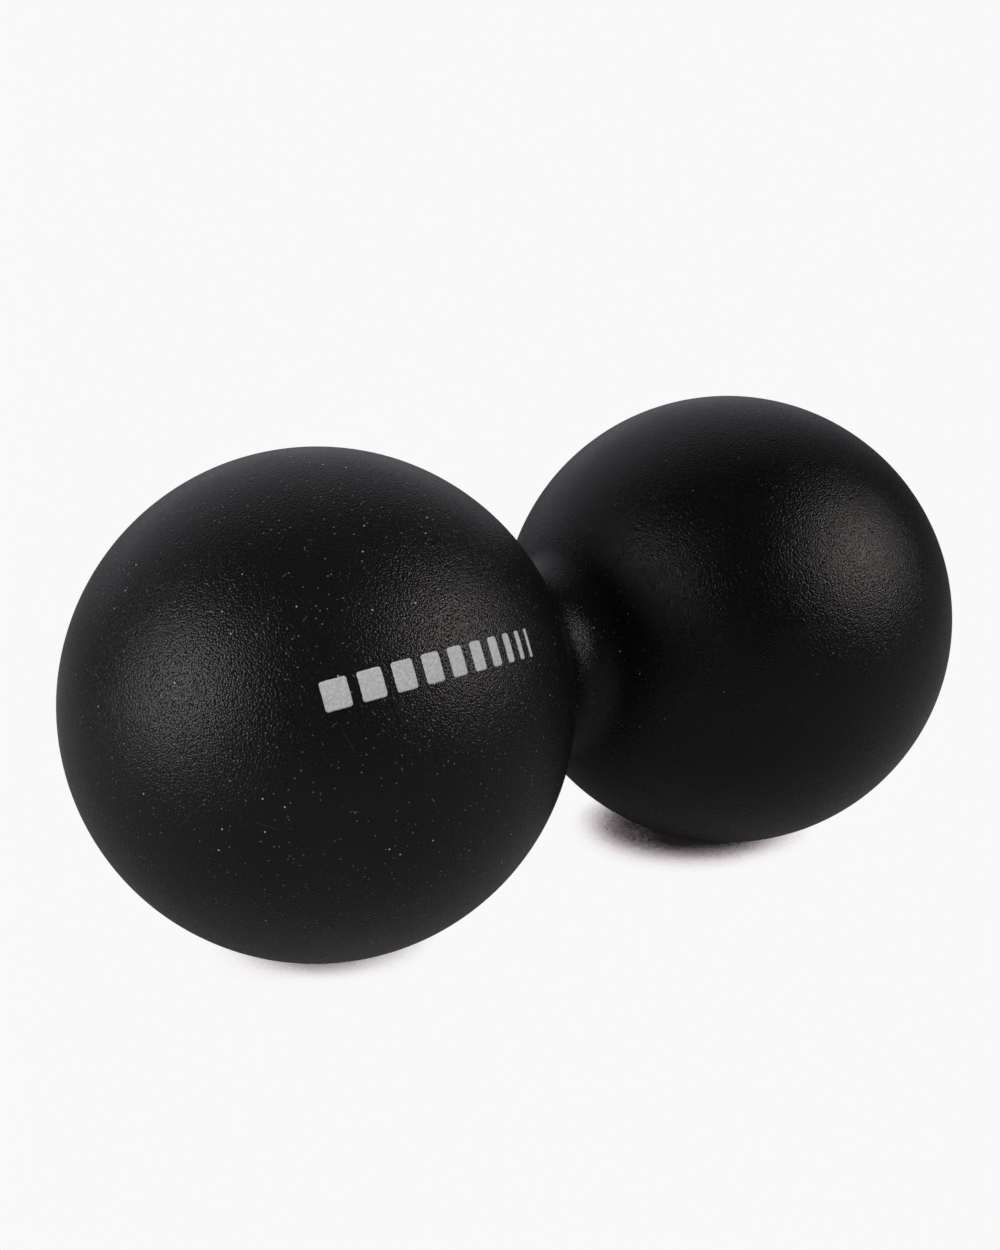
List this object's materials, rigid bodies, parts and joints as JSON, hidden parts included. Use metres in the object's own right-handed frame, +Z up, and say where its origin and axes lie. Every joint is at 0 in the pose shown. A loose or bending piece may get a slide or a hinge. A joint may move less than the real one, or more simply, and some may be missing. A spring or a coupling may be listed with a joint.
{
  "type": "double massage ball",
  "caption": "Firm double massage ball: two equal balls in a grained black skin, joined by a narrow waist that clears the spine, with a plain printed bar mark.",
  "frame": {"origin": "on the floor, midway between the two balls", "axes": "+X along the long axis, from the marked ball to the plain one; +Z up; the printed mark faces -Y, a little above the horizontal"},
  "size_m": [0.128, 0.063, 0.063],
  "materials": {
    "skin": "matte with a fine leathery grain",
    "core": "plain moulded",
    "link": "plain moulded",
    "ink": "matte printed ink"
  },
  "bodies": {
    "root": {"front_skin": "skin", "rear_skin": "skin", "marked_ball_core": "core", "plain_ball_core": "core", "core_link": "link", "printed_mark": "ink"}
  },
  "joints": []
}
